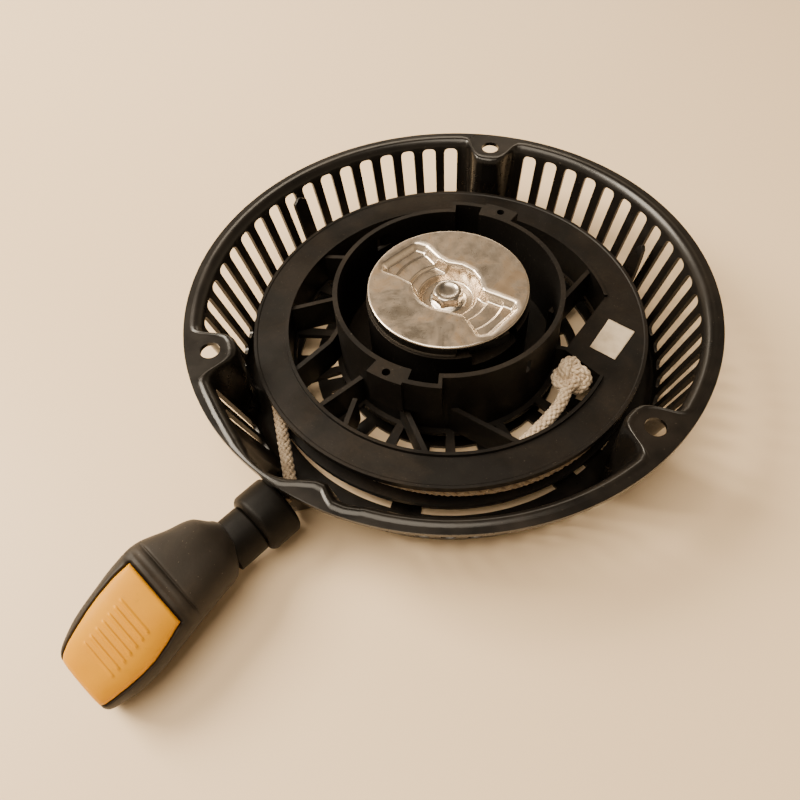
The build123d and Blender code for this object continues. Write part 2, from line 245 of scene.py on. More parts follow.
def m_rubber():
    m, nt, b = new_mat("grey_rubber")
    v = coords(nt)
    blot = noise_n(nt, v, 60, 6, 0.62, 0.5)
    fine = noise_n(nt, v, 1300, 4, 0.6)
    col = ramp(nt, blot, [(0.30, (0.0078, 0.0058, 0.0040)), (0.52, (0.0135, 0.0098, 0.0066)), (0.74, (0.0330, 0.0235, 0.0155))])
    film = up_mask(nt, 0.0, 1.0)
    col = mix(nt, math_n(nt, "MULTIPLY", film, 0.34), col, (0.0300, 0.0215, 0.0140))
    specks = ramp(nt, noise_n(nt, v, 1500, 2, 0.5), [(0.735, 0.0), (0.77, 1.0)])
    col = mix(nt, math_n(nt, "MULTIPLY", specks, 0.6), col, (0.36, 0.29, 0.21))
    nt.links.new(col, b.inputs["Base Color"])
    nt.links.new(ramp(nt, blot, [(0.3, 0.50), (0.75, 0.66)]), b.inputs["Roughness"])
    setin(b, Specular_IOR_Level=0.32, Sheen_Weight=0.04, Sheen_Roughness=0.5)
    n1 = bump(nt, b, fine, 0.30, 0.00012)
    bump(nt, b, noise_n(nt, v, 190, 3), 0.15, 0.0004, n1)
    return m


def m_yellow():
    m, nt, b = new_mat("yellow_plastic")
    v = coords(nt)
    col = mix(nt, ramp(nt, noise_n(nt, v, 55, 5, 0.6), [(0.35, 0.0), (0.75, 1.0)]), (0.77, 0.345, 0.0), (0.70, 0.295, 0.0))
    dirt = ramp(nt, noise_n(nt, v, 420, 5, 0.7), [(0.60, 0.0), (0.85, 0.5)])
    col = mix(nt, dirt, col, (0.42, 0.22, 0.05))
    nt.links.new(col, b.inputs["Base Color"])
    nt.links.new(ramp(nt, noise_n(nt, v, 240, 4), [(0.3, 0.34), (0.7, 0.46)]), b.inputs["Roughness"])
    setin(b, Specular_IOR_Level=0.13)
    bump(nt, b, noise_n(nt, v, 900, 3), 0.16, 0.0001)
    return m


def m_black(name, base=(0.010, 0.0088, 0.008), rough=0.42):
    m, nt, b = new_mat(name)
    v = coords(nt)
    col = mix(nt, ramp(nt, noise_n(nt, v, 90, 5, 0.6), [(0.4, 0.0), (0.75, 1.0)]), base, tuple(c * 2.2 for c in base))
    nt.links.new(col, b.inputs["Base Color"])
    nt.links.new(ramp(nt, noise_n(nt, v, 150, 4), [(0.3, rough - 0.06), (0.7, rough + 0.1)]), b.inputs["Roughness"])
    setin(b, Specular_IOR_Level=0.13)
    bump(nt, b, noise_n(nt, v, 1100, 3), 0.2, 0.0001)
    return m


def m_paper():
    m, nt, b = new_mat("label_paper")
    v = coords(nt)
    col = mix(nt, ramp(nt, noise_n(nt, v, 190, 5, 0.65), [(0.4, 0.0), (0.8, 1.0)]), (0.64, 0.53, 0.39), (0.46, 0.36, 0.25))
    nt.links.new(col, b.inputs["Base Color"])
    setin(b, Roughness=0.55, Specular_IOR_Level=0.3)
    bump(nt, b, noise_n(nt, v, 420, 3, 0.6), 0.35, 0.0002)
    return m


PAINT = m_paint()
NYLON = m_nylon()
ZINC = m_zinc()
ZINC_BOLT = m_zinc("zinc_bolt", (0.55, 0.49, 0.42), (0.27, 0.20, 0.14), 0.7)
STEEL = m_steel("plain_steel", (0.50, 0.49, 0.47), 0.32)
SPRING = m_steel("spring_steel", (0.20, 0.20, 0.23), 0.30)
BRASS = m_steel("sintered_bronze", (0.48, 0.33, 0.15), 0.42)
ROPE = m_rope()
ROPE2 = m_rope("rope_fibre_oily", (0.46, 0.36, 0.25), (0.16, 0.105, 0.06))
# dark core colour: painted shade, seen in the gaps between the braid's strands
ROPE_CORE_SHADE = m_rope("rope_core_painted_shade", (0.16, 0.11, 0.07), (0.07, 0.045, 0.028))
RUBBER = m_rubber()
YELLOW = m_yellow()
GUIDE = m_black("guide_rubber", (0.0034, 0.0027, 0.0021), 0.46)
NECK = m_black("neck_rubber", (0.0030, 0.0024, 0.0019), 0.50)
PAPER = m_paper()


# ------------------------------------------------------------- mesh utilities
def add(name, verts, faces, body, mat, mats=None, smooth=True, uv=None):
    me = bpy.data.meshes.new(name)
    me.from_pydata([tuple(float(c) * MM for c in v) for v in verts], [], [tuple(int(i) for i in f) for f in faces])
    me.validate()
    me.update()
    if smooth:
        me.polygons.foreach_set("use_smooth", [True] * len(me.polygons))
    ob = bpy.data.objects.new(name, me)
    scene.collection.objects.link(ob)
    me.materials.append(mat)
    for m in (mats or []):
        me.materials.append(m)
    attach(ob, body)
    return ob


def apply_mods(ob):
    dg = bpy.context.evaluated_depsgraph_get()
    dg.update()
    me = bpy.data.meshes.new_from_object(ob.evaluated_get(dg), preserve_all_data_layers=True, depsgraph=dg)
    old = ob.data
    ob.modifiers.clear()
    ob.data = me
    bpy.data.meshes.remove(old)
    return ob


def bevel(ob, width, seg=2, angle=35, harden=True):
    m = ob.modifiers.new("bevel", "BEVEL")
    m.width = width * MM
    m.segments = seg
    m.limit_method = "ANGLE"
    m.angle_limit = rad(angle)
    m.use_clamp_overlap = True
    m.harden_normals = False
    return m


def weighted(ob):
    m = ob.modifiers.new("wn", "WEIGHTED_NORMAL")
    m.keep_sharp = True
    m.weight = 80
    return m


def revolve(name, prof, body, mat, origin=(0, 0, 0), axis=None, n=96, close=True, mats=None):
    """Solid of revolution: prof is [(r, h)], closed loop when close. axis: (e1, e2, e3) frame."""
    if axis is None:
        e1, e2, e3 = np.eye(3)
    else:
        e1, e2, e3 = axis
    o = np.array(origin, float)
    vs, fs = [], []
    k = len(prof)
    for i in range(n):
        a = 2 * math.pi * i / n
        for r, h in prof:
            vs.append(o + e1 * (r * math.cos(a)) + e2 * (r * math.sin(a)) + e3 * h)
    for i in range(n):
        j = (i + 1) % n
        for p in range(k if close else k - 1):
            q = (p + 1) % k
            fs.append((i * k + p, j * k + p, j * k + q, i * k + q))
    ob = add(name, vs, fs, body, mat, mats)
    bm = bmesh.new()
    bm.from_mesh(ob.data)
    bmesh.ops.remove_doubles(bm, verts=bm.verts, dist=1e-7)
    bmesh.ops.recalc_face_normals(bm, faces=bm.faces)
    bm.to_mesh(ob.data)
    bm.free()
    ob.data.polygons.foreach_set("use_smooth", [True] * len(ob.data.polygons))
    return ob


def fillet_poly(pts, radii, seg=5):
    """Round the corners of a closed 2-D polygon."""
    out = []
    n = len(pts)
    for i in range(n):
        p0, p1, p2 = (np.array(pts[(i - 1) % n], float), np.array(pts[i], float), np.array(pts[(i + 1) % n], float))
        r = radii[i] if isinstance(radii, (list, tuple)) else radii
        d1, d2 = p0 - p1, p2 - p1
        l1, l2 = np.linalg.norm(d1), np.linalg.norm(d2)
        if r <= 0 or l1 < 1e-9 or l2 < 1e-9:
            out.append(tuple(p1))
            continue
        d1, d2 = d1 / l1, d2 / l2
        cosang = np.clip(np.dot(d1, d2), -1, 1)
        ang = math.acos(cosang)
        if ang > math.pi - 0.02:
            out.append(tuple(p1))
            continue
        t = min(r / math.tan(ang / 2), l1 * 0.48, l2 * 0.48)
        rr = t * math.tan(ang / 2)
        bis = (d1 + d2) / np.linalg.norm(d1 + d2)
        c = p1 + bis * (rr / math.sin(ang / 2))
        a, b = p1 + d1 * t, p1 + d2 * t
        va, vb = a - c, b - c
        a0, a1 = math.atan2(va[1], va[0]), math.atan2(vb[1], vb[0])
        da = (a1 - a0 + math.pi) % (2 * math.pi) - math.pi
        for k in range(seg + 1):
            th = a0 + da * k / seg
            out.append((c[0] + rr * math.cos(th), c[1] + rr * math.sin(th)))
    return out


def resample(pts, ds):
    pts = np.array(pts, float)
    seg = np.linalg.norm(np.diff(pts, axis=0), axis=1)
    L = np.concatenate([[0], np.cumsum(seg)])
    n = max(2, int(round(L[-1] / ds)) + 1)
    t = np.linspace(0, L[-1], n)
    return np.stack([np.interp(t, L, pts[:, k]) for k in range(3)], 1), L[-1]


def smooth_path(ctrl, ds=0.4, order=3):
    """NURBS spline through control points, sampled by Blender itself."""
    cu = bpy.data.curves.new("tmp", "CURVE")
    cu.dimensions = "3D"
    sp = cu.splines.new("NURBS")
    sp.points.add(len(ctrl) - 1)
    for p, c in zip(sp.points, ctrl):
        p.co = (c[0], c[1], c[2], 1)
    sp.order_u = order
    sp.use_endpoint_u = True
    cu.resolution_u = 24
    ob = bpy.data.objects.new("tmp", cu)
    scene.collection.objects.link(ob)
    dg = bpy.context.evaluated_depsgraph_get()
    me = bpy.data.meshes.new_from_object(ob.evaluated_get(dg))
    pts = [tuple(v.co) for v in me.vertices]
    bpy.data.meshes.remove(me)
    bpy.data.objects.remove(ob)
    bpy.data.curves.remove(cu)
    return resample(pts, ds)[0]


def frames(P):
    T = np.gradient(P, axis=0)
    T /= np.linalg.norm(T, axis=1)[:, None] + 1e-12
    N = np.zeros_like(P)
    up = np.array([0, 0, 1.0])
    if abs(T[0] @ up) > 0.9:
        up = np.array([1.0, 0, 0])
    n = up - T[0] * (T[0] @ up)
    N[0] = n / np.linalg.norm(n)
    for i in range(1, len(P)):
        v = N[i - 1] - T[i] * (N[i - 1] @ T[i])
        N[i] = v / (np.linalg.norm(v) + 1e-12)
    B = np.cross(T, N)
    return T, N, B


def braid(name, path, body, mat, r=ROPE_R, n=6, sides=8, taper=None, wid=1.40, thk=0.95, ds=0.42, core=True):
    """Round braided rope: n strands each way, over and under, on a core whose dark material is painted shade in the
    gaps between the strands.
    """
    P, L = resample(path, ds)
    T, N, B = frames(P)
    s = np.linspace(0, L, len(P))
    scale = np.ones(len(P))
    if taper is not None:
        scale = np.array([taper(x / L) for x in s])
    om = 1.0 / r * 0.86
    vs, fs = [], []
    for d in (1, -1):
        for k in range(n):
            ph = d * om * s + 2 * math.pi * k / n
            off = d * 0.42 * np.cos(om * n * s)
            rr = (r - thk * 0.5 - 0.22 + off) * scale
            c, sn = np.cos(ph), np.sin(ph)
            radial = N * c[:, None] + B * sn[:, None]
            C = P + radial * rr[:, None]
            TT = np.gradient(C, axis=0)
            TT /= np.linalg.norm(TT, axis=1)[:, None] + 1e-12
            side = np.cross(TT, radial)
            side /= np.linalg.norm(side, axis=1)[:, None] + 1e-12
            rd = np.cross(side, TT)
            base = len(vs)
            for i in range(len(P)):
                for q in range(sides):
                    a = 2 * math.pi * q / sides
                    vs.append(C[i] + side[i] * (math.cos(a) * wid * 0.5 * scale[i]) + rd[i] * (math.sin(a) * thk * 0.5 * scale[i]))
            for i in range(len(P) - 1):
                for q in range(sides):
                    q2 = (q + 1) % sides
                    fs.append((base + i * sides + q, base + i * sides + q2, base + (i + 1) * sides + q2, base + (i + 1) * sides + q))
            fs.append(tuple(base + q for q in range(sides))[::-1])
            fs.append(tuple(base + (len(P) - 1) * sides + q for q in range(sides)))
    # the core's dark material paints the shade in the gaps between the strands
    if core:
        base = len(vs)
        m = 12
        for i in range(len(P)):
            for q in range(m):
                a = 2 * math.pi * q / m
                vs.append(P[i] + (N[i] * math.cos(a) + B[i] * math.sin(a)) * (r - 0.95) * scale[i])
        for i in range(len(P) - 1):
            for q in range(m):
                q2 = (q + 1) % m
                fs.append((base + i * m + q, base + i * m + q2, base + (i + 1) * m + q2, base + (i + 1) * m + q))
        fs.append(tuple(base + q for q in range(m))[::-1])
        fs.append(tuple(base + (len(P) - 1) * m + q for q in range(m)))
    ob = add(name, vs, fs, body, mat, [ROPE_CORE_SHADE])
    if core:
        nf = (len(P) - 1) * 12 + 2
        idx = np.zeros(len(ob.data.polygons), dtype=np.int32)
        idx[-nf:] = 1
        ob.data.polygons.foreach_set("material_index", idx)
    return ob


# -------------------------------------------------------------- housing shell
def interp(x, xs, ys):
    return float(np.interp(x, xs, ys))


PAD_D = [0.0, 1.5, 3.2, 4.3, 5.1, 5.9, 6.8, 8.2, 9.6]
PAD_T = [79.2, 79.3, 80.2, 82.2, 85.2, 89.0, 91.2, 92.0, 92.0]
PAD_B = [78.6, 78.6, 78.8, 79.2, 79.8, 80.4, 80.7, 80.8, 80.8]
OUT_A = [206, 212, 217, 219.5, 222, 225, 227, 229, 230.5, 232, 234.3, 237, 238.8, 240.3, 242, 244.5, 248]
OUT_T = [92.0, 92.6, 93.6, 94.6, 95.6, 96.1, 96.0, 95.4, 94.4, 93.2, 90.9, 89.0, 89.0, 91.0, 93.0, 93.2, 92.2]
OUT_BA = [206, 216, 219.5, 221, 222.5, 226.5, 228, 229.5, 231, 241, 246]
OUT_B = [80.8, 80.8, 81.6, 86.0, 89.5, 89.5, 86.5, 82.4, 80.9, 80.8, 80.8]


def pad_offset(a):
    best = 99
    for h in HOLE_A:
        d = (a - h + 180) % 360 - 180
        if abs(d) < abs(best):
            best = d
    return best


def wall_radii(a):
    a = a % 360
    d = abs(pad_offset(a))
    if d < 9.6:
        return interp(d, PAD_D, PAD_T), interp(d, PAD_D, PAD_B)
    if 206 < a < 248:
        return interp(a, OUT_A, OUT_T), interp(a, OUT_BA, OUT_B)
    return 92.0, 80.8


def build_housing():
    HA = 1.82
    cols = []                     # (angle, slot index or -1, offset in slot)
    slot_id = 0
    edge_off = [-HA, -HA * 0.93, -HA * 0.80, -HA * 0.60, -HA * 0.3, 0.0, HA * 0.3, HA * 0.60, HA * 0.80, HA * 0.93, HA]
    raw = []
    for k in range(3):
        h = HOLE_A[k]
        for i in range(17):
            c = h + 11.2 + 6.1 * i
            if 213.0 < c % 360 < 247.0:
                continue
            raw.append(c % 360)
    raw.sort()
    angs = []
    for c in raw:
        for e in edge_off:
            angs.append((c + e, slot_id, e))
        slot_id += 1
    angs.sort()
    full = []
    for i, (a, s, e) in enumerate(angs):
        full.append((a, s, e))
        b, s2, _ = angs[(i + 1) % len(angs)]
        if i + 1 == len(angs):
            b += 360
        if s2 != s:
            gap = b - a
            inside = None
            mid = (a + gap / 2) % 360
            fine = abs(pad_offset(mid)) < 10 or 200 < mid < 250
            n = max(3, int(round(gap / (0.42 if fine and gap > 4 else 0.8))))
            for q in range(1, n):
                full.append((a + gap * q / n, -1, 0.0))
    cols = full
    NC = len(cols)
    FL = 15                        # flange rows
    bead = [(3.7, 0.0), (3.2, 0.10), (2.75, 0.24), (2.3, 0.33), (1.9, 0.32), (1.5, 0.20), (1.12, -0.05),
            (0.78, -0.42), (0.48, -0.92), (0.22, -1.55), (0.05, -2.3)]
    zs_in = 12
    floor_r = [74.4, 72.9, 71.3, 69.7, 65.0, 61.0, 57.5, 54.0, 50.0, 47.0, 44.0, 38.0, 30.0, 20.0, 11.0, 4.8]
    vs, rows_of = [], None
    for (a, sid, off) in cols:
        rt, rb = wall_radii(a)
        slope = (rt - rb) / 37.0
        wall = lambda z: rt + z * slope
        col = []
        b_out = min(rt + 3.7, 97.6)
        f = (b_out - rt) / 3.7
        # rim edge, then flange
        for i in range(FL):
            t = i / (FL - 1)
            col.append((98.0 + (b_out - 98.0) * t, 0.0))
        for dr, dz in bead[1:]:
            col.append((rt + dr * f + min(0, dz) * slope, dz * (0.55 + 0.45 * f)))
        # slot ends, rounded in the corners
        hw, rc = 2.9, 1.9
        x = abs(off) / HA * hw if sid >= 0 else hw
        dcor = rc - math.sqrt(max(0.0, rc * rc - max(0.0, x - (hw - rc)) ** 2))
        z_t, z_b = -3.0 - dcor, -32.6 + dcor
        for i in range(zs_in):
            z = z_t + (z_b - z_t) * i / (zs_in - 1)
            col.append((wall(z), z))
        zz = -33.4
        rw = wall(zz)
        col.append((rw, zz))
        for i in range(1, 7):
            t = i / 6 * math.pi / 2
            col.append((rw - 4.2 * (1 - math.cos(t)), zz - 3.6 * math.sin(t)))
        for r in floor_r:
            col.append((r, -37.0))
        ca, sa = math.cos(rad(a)), math.sin(rad(a))
        for r, z in col:
            vs.append((r * ca, r * sa, z))
        rows_of = len(col)
    NR = rows_of
    i_slot0 = FL + len(bead) - 1
    i_slot1 = i_slot0 + zs_in - 1
    i_floor = i_slot1 + 1 + 1 + 6
    ridx = {r: i_floor + k for k, r in enumerate(floor_r)}
    faces = []
    inwin = lambda a, c, h: abs((a - c + 180) % 360 - 180) < h
    holes = [(88.94 * math.cos(rad(h)), 88.94 * math.sin(rad(h))) for h in HOLE_A]
    HR = 3.7
    V = np.array(vs)
    for j in range(NC):
        j2 = (j + 1) % NC
        a0, s0, _ = cols[j]
        a1, s1, _ = cols[j2]
        am = a0 + (((a1 - a0) % 360) / 2)
        slotcol = s0 >= 0 and s0 == s1
        for i in range(NR - 1):
            if slotcol and i_slot0 <= i < i_slot1:
                continue
            if i >= i_floor:
                rr = 0.5 * (floor_r[i - i_floor] + floor_r[i - i_floor + 1])
                cut = False
                if 69.7 < rr < 72.9:
                    for h in HOLE_A:
                        if inwin(am, h + 60 - 24.5, 20) or inwin(am, h + 60 + 24.5, 20) or inwin(am, h - 5.9, 2.15) or inwin(am, h + 5.9, 2.15):
                            cut = True
                if 54 < rr < 61 and any(inwin(am, 11.94 + 30 * k, 11.5) for k in range(12)):
                    cut = True
                if 44 < rr < 50 and any(inwin(am, 26.94 + 30 * k, 11.5) for k in range(12)):
                    cut = True
                if cut:
                    continue
            if i == i_floor - 3 and 247.6 < am % 360 < 252.9:
                continue
            if i in (i_floor - 2, i_floor - 1) and 247.0 < am % 360 < 253.5:
                continue
            q = (j * NR + i, j2 * NR + i, j2 * NR + i + 1, j * NR + i + 1)
            if i < FL + 3:
                c = V[list(q)].mean(0)
                if any(math.hypot(c[0] - hx, c[1] - hy) < HR for hx, hy in holes):
                    continue
            faces.append(q)
    # draw the edges of the bolt holes onto true circles
    used = {}
    for f in faces:
        for k in range(4):
            e = tuple(sorted((f[k], f[(k + 1) % 4])))
            used[e] = used.get(e, 0) + 1
    rim = {v for e, n in used.items() if n == 1 for v in e}
    for v in rim:
        for hx, hy in holes:
            dx, dy = V[v][0] - hx, V[v][1] - hy
            d = math.hypot(dx, dy)
            if d < 5.2 and V[v][2] > -1.5:
                V[v][0] = hx + dx / d * 3.6
                V[v][1] = hy + dy / d * 3.6
                V[v][2] = 0.0
    ob = add("housing_shell", V, faces, "housing", PAINT)
    bm = bmesh.new()
    bm.from_mesh(ob.data)
    loose = [v for v in bm.verts if not v.link_faces]
    bmesh.ops.delete(bm, geom=loose, context="VERTS")
    bm.to_mesh(ob.data)
    bm.free()
    so = ob.modifiers.new("thick", "SOLIDIFY")
    so.thickness = 1.5 * MM
    so.offset = -1
    so.use_even_offset = True
    so.use_quality_normals = True
    bevel(ob, 0.32, 2, 48)
    apply_mods(ob)
    ob.data.polygons.foreach_set("use_smooth", [True] * len(ob.data.polygons))
    weighted(ob)
    apply_mods(ob)
    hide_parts("housing")
    return ob


def lug(name, ang, w, top, rt, point):
    """Upright bent tab beside the reel."""
    vs, fs = [], []
    nu, nv = 7, 26
    r0, z0 = 77.4, -37.2
    for j in range(nv):
        t = j / (nv - 1)
        # foot bends up out of the floor
        if t < 0.2:
            k = t / 0.2
            th = k * rad(76)
            r = r0 - 2.2 + 2.2 * math.sin(th) * 0.9
            z = z0 + 0.2 + 2.4 * (1 - math.cos(th))
        else:
            k = (t - 0.2) / 0.8
            r = (r0 - 0.1) + (rt - r0) * k
            z = (z0 + 2.2) + (top - (z0 + 2.2)) * k
        ww = w
        if point == "round":
            e = max(0.0, (t - 0.93) / 0.07)
            ww = w * (max(0.02, 1 - e ** 3)) ** 0.4
        else:
            ww = w * (1.0 if t < 0.55 else 1.0 - 0.62 * ((t - 0.55) / 0.45) ** 1.6)
            e = max(0.0, (t - 0.95) / 0.05)
            ww *= math.sqrt(max(0.05, 1 - e * e))
        for i in range(nu):
            x = (i / (nu - 1) - 0.5) * ww
            if point != "round":
                x += 0.9 * max(0, t - 0.5)
            vs.append((r, x, z))
    for j in range(nv - 1):
        for i in range(nu - 1):
            fs.append((j * nu + i, j * nu + i + 1, (j + 1) * nu + i + 1, (j + 1) * nu + i))
    ca, sa = math.cos(rad(ang)), math.sin(rad(ang))
    vs = [(r * ca - x * sa, r * sa + x * ca, z) for r, x, z in vs]
    ob = add(name, vs, fs, "housing", PAINT)
    so = ob.modifiers.new("thick", "SOLIDIFY")
    so.thickness = 1.7 * MM
    so.offset = 0
    so.use_even_offset = True
    bevel(ob, 0.35, 2, 48)
    apply_mods(ob)
    ob.data.polygons.foreach_set("use_smooth", [True] * len(ob.data.polygons))
    weighted(ob)
    apply_mods(ob)
    return ob


# --------------------------------------------------- copies of CAD with bevels
def softened(node, name, body, mat, width, seg=2, angle=32, extra=None):
    src = NODES[node]
    me = src.data.copy()
    me.name = name
    ob = bpy.data.objects.new(name, me)
    scene.collection.objects.link(ob)
    me.materials.clear()
    me.materials.append(mat)
    bm = bmesh.new()
    bm.from_mesh(me)
    bmesh.ops.remove_doubles(bm, verts=bm.verts, dist=2e-6)
    bmesh.ops.dissolve_limit(bm, angle_limit=rad(0.6), verts=bm.verts, edges=bm.edges, use_dissolve_boundaries=False)
    if extra:
        extra(bm)
    bmesh.ops.recalc_face_normals(bm, faces=bm.faces)
    bm.to_mesh(me)
    bm.free()
    if me.has_custom_normals:
        pass
    me.polygons.foreach_set("use_smooth", [True] * len(me.polygons))
    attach(ob, body)
    bevel(ob, width, seg, angle)
    apply_mods(ob)
    ob.data.polygons.foreach_set("use_smooth", [True] * len(ob.data.polygons))
    weighted(ob)
    apply_mods(ob)
    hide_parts(node)
    return ob


# -------------------------------------------------------------- ratchet guide
WING = [(-10.1, 24.9), (-23.4, 15.0), (-23.7, 11.0), (-17.9, 7.4), (-13.4, 3.4), (-12.9, -1.4), (-10.6, -6.4),
        (-6.5, -10.4), (-0.6, -12.5), (3.7, -15.0), (7.5, -25.0), (12.6, -24.4), (23.5, -14.2), (23.5, -10.6), (12.6, -3.4),
        (12.3, 2.6), (10.6, 6.9), (6.6, 10.6), (1.6, 12.3), (-1.6, 15.4), (-5.9, 22.6)]


def poly_sdf(P, poly):
    """Signed distance (positive inside) of points to a polygon."""
    poly = np.array(poly)
    n = len(poly)
    d = np.full(len(P), 1e9)
    inside = np.zeros(len(P), bool)
    for i in range(n):
        a, b = poly[i], poly[(i + 1) % n]
        ab = b - a
        t = np.clip(((P - a) @ ab) / (ab @ ab), 0, 1)
        d = np.minimum(d, np.linalg.norm(P - (a + t[:, None] * ab), axis=1))
        c = ((a[1] > P[:, 1]) != (b[1] > P[:, 1]))
        with np.errstate(divide="ignore", invalid="ignore"):
            xi = (b[0] - a[0]) * (P[:, 1] - a[1]) / (b[1] - a[1] + 1e-12) + a[0]
        inside ^= c & (P[:, 0] < xi)
    return np.where(inside, d, -d)


def sstep(x, a, b):
    t = np.clip((x - a) / (b - a), 0, 1)
    return t * t * (3 - 2 * t)


def build_guide():
    NA, rr = 420, []
    rr = list(np.linspace(3.2, 29.0, 130))
    X, fs = [], []
    ang = np.linspace(0, 2 * math.pi, NA, endpoint=False)
    Rg = np.array(rr)
    xy = np.stack([np.outer(np.cos(ang), Rg).ravel(), np.outer(np.sin(ang), Rg).ravel()], 1)
    wing = fillet_poly(WING, [2.6, 2.6, 1.6, 3, 3, 3, 3, 3, 3, 3, 2.6, 2.6, 2.6, 1.6, 3, 3, 3, 3, 3, 3, 3], 6)
    sd = poly_sdf(xy, wing)
    r = np.hypot(xy[:, 0], xy[:, 1])
    z = np.full(len(xy), 3.7)
    z += 0.10 * (1 - (r / 29) ** 2)
    # rolled shoulder along the pressing, then the sloping side
    z -= 0.35 * sstep(sd, -1.6, 0.2)
    z -= 2.6 * sstep(sd, -0.3, 2.3)
    # floor of each wing has two steps, and the round well in the middle
    deep = sstep(sd, 0.2, 1.8)
    z -= deep * 0.55 * sstep(-r, -21.6, -20.6)
    z -= deep * 1.35 * sstep(-r, -15.6, -14.4)
    z -= deep * 2.5 * sstep(-r, -11.2, -9.2)
    # small dents from the press tool
    z += 0.05 * np.sin(xy[:, 0] * 0.9 + 1.0) * np.cos(xy[:, 1] * 0.7)
    V = [(p[0], p[1], q) for p, q in zip(xy, z)]
    nr = len(rr)
    for j in range(NA):
        j2 = (j + 1) % NA
        for i in range(nr - 1):
            fs.append((j * nr + i, j * nr + i + 1, j2 * nr + i + 1, j2 * nr + i))
    # skirt: rolls over the edge and down, only on two quadrants
    skirt = [(29.35, -0.06), (29.62, -0.22), (29.78, -0.5), (29.82, -0.9), (29.82, -2.0), (29.82, -3.4), (29.82, -4.9)]
    base0 = len(V)
    sk = []
    for j in range(NA):
        a = math.degrees(ang[j])
        d1 = min(abs((a - 40 + 180) % 360 - 180), abs((a - 220 + 180) % 360 - 180))
        full = d1 < 50
        edge_z = V[j * nr + nr - 1][2]
        k = 1.0 if full else 0.0
        for (rs, dz) in skirt:
            zz = dz if full else max(dz, -0.9 if dz < -0.9 else dz)
            if full:
                V.append((rs * math.cos(ang[j]), rs * math.sin(ang[j]), edge_z + dz))
            else:
                ro = 29.0 + (min(rs, 29.8) - 29.0)
                V.append((ro * math.cos(ang[j]), ro * math.sin(ang[j]), edge_z + max(dz, -1.15) - 0.0))
    ks = len(skirt)
    for j in range(NA):
        j2 = (j + 1) % NA
        fs.append((j * nr + nr - 1, base0 + j * ks, base0 + j2 * ks, j2 * nr + nr - 1))
        for i in range(ks - 1):
            fs.append((base0 + j * ks + i, base0 + j * ks + i + 1, base0 + j2 * ks + i + 1, base0 + j2 * ks + i))
    # underside, a sheet's thickness below
    bm = bmesh.new()
    ob = add("ratchet_guide_pressing", V, fs, "ratchet_guide", ZINC)
    bm.from_mesh(ob.data)
    bmesh.ops.remove_doubles(bm, verts=bm.verts, dist=5e-7)
    bmesh.ops.recalc_face_normals(bm, faces=bm.faces)
    bm.to_mesh(ob.data)
    bm.free()
    # make sure that normals point up
    up = sum(p.normal.z for p in ob.data.polygons)
    if up < 0:
        ob.data.flip_normals()
    so = ob.modifiers.new("thick", "SOLIDIFY")
    so.thickness = 1.0 * MM
    so.offset = -1
    apply_mods(ob)
    ob.data.polygons.foreach_set("use_smooth", [True] * len(ob.data.polygons))
    weighted(ob)
    apply_mods(ob)
    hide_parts("ratchet_guide")
    return ob


def build_bolt():
    """Hexagon flange bolt with a dished, chamfered head."""
    ztop, zhex, zfl = 1.25, -2.6, -3.85
    NA = 144
    prof_r = [0.0, 1.6, 3.0, 3.55, 3.9, 4.25, 4.62]
    prof_z = [-0.75, -0.72, -0.55, -0.22, 0.0, 0.0, -0.05]
    vs, fs = [], []
    AF = 5.05
    turn = rad(2.0)
    rows = []
    for r, z in zip(prof_r, prof_z):
        rows.append([(r, ztop + z)] * NA)
    # chamfer and six flats

    def hexr(a):
        t = (a - turn) % (math.pi / 3) - math.pi / 6
        return min(AF / math.cos(t), AF * 1.135)

    angs = [2 * math.pi * i / NA for i in range(NA)]
    hx = [hexr(a) for a in angs]
    rows.append([(min(h, 4.95), ztop - 0.16) for h in hx])
    rows.append([(min(h, 5.2), ztop - 0.34) for h in hx])
    rows.append([(h, ztop - 0.34 - 0.62 * max(0.0, h - 5.2) / 0.55) for h in hx])
    for q in (0.3, 0.65, 0.95):
        rows.append([(h, (ztop - 0.96) + (zhex - ztop + 0.96) * q) for h in hx])
    rows.append([(h * 0.5 + 5.9 * 0.5 + 0.05, zhex - 0.12) for h in hx])
    rows.append([(6.3, zhex - 0.38)] * NA)
    rows.append([(6.85, zhex - 0.62)] * NA)
    rows.append([(7.02, zhex - 0.80)] * NA)
    rows.append([(7.02, zfl + 0.08)] * NA)
    rows.append([(6.9, zfl)] * NA)
    rows.append([(3.0, zfl)] * NA)
    rows.append([(3.0, -16.4)] * NA)
    rows.append([(0.0, -16.4)] * NA)
    for row in rows:
        for a, (r, z) in zip(angs, row):
            vs.append((r * math.cos(a), r * math.sin(a), z))
    for i in range(len(rows) - 1):
        for j in range(NA):
            j2 = (j + 1) % NA
            fs.append((i * NA + j, (i + 1) * NA + j, (i + 1) * NA + j2, i * NA + j2))
    ob = add("centre_screw_head", vs, fs, "housing", ZINC_BOLT)
    bm = bmesh.new()
    bm.from_mesh(ob.data)
    bmesh.ops.remove_doubles(bm, verts=bm.verts, dist=1e-6)
    bmesh.ops.recalc_face_normals(bm, faces=bm.faces)
    for e in bm.edges:
        if len(e.link_faces) == 2 and e.calc_face_angle(0) > rad(28):
            e.smooth = False
    bm.to_mesh(ob.data)
    bm.free()
    weighted(ob)
    apply_mods(ob)
    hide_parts("centre_screw")
    return ob


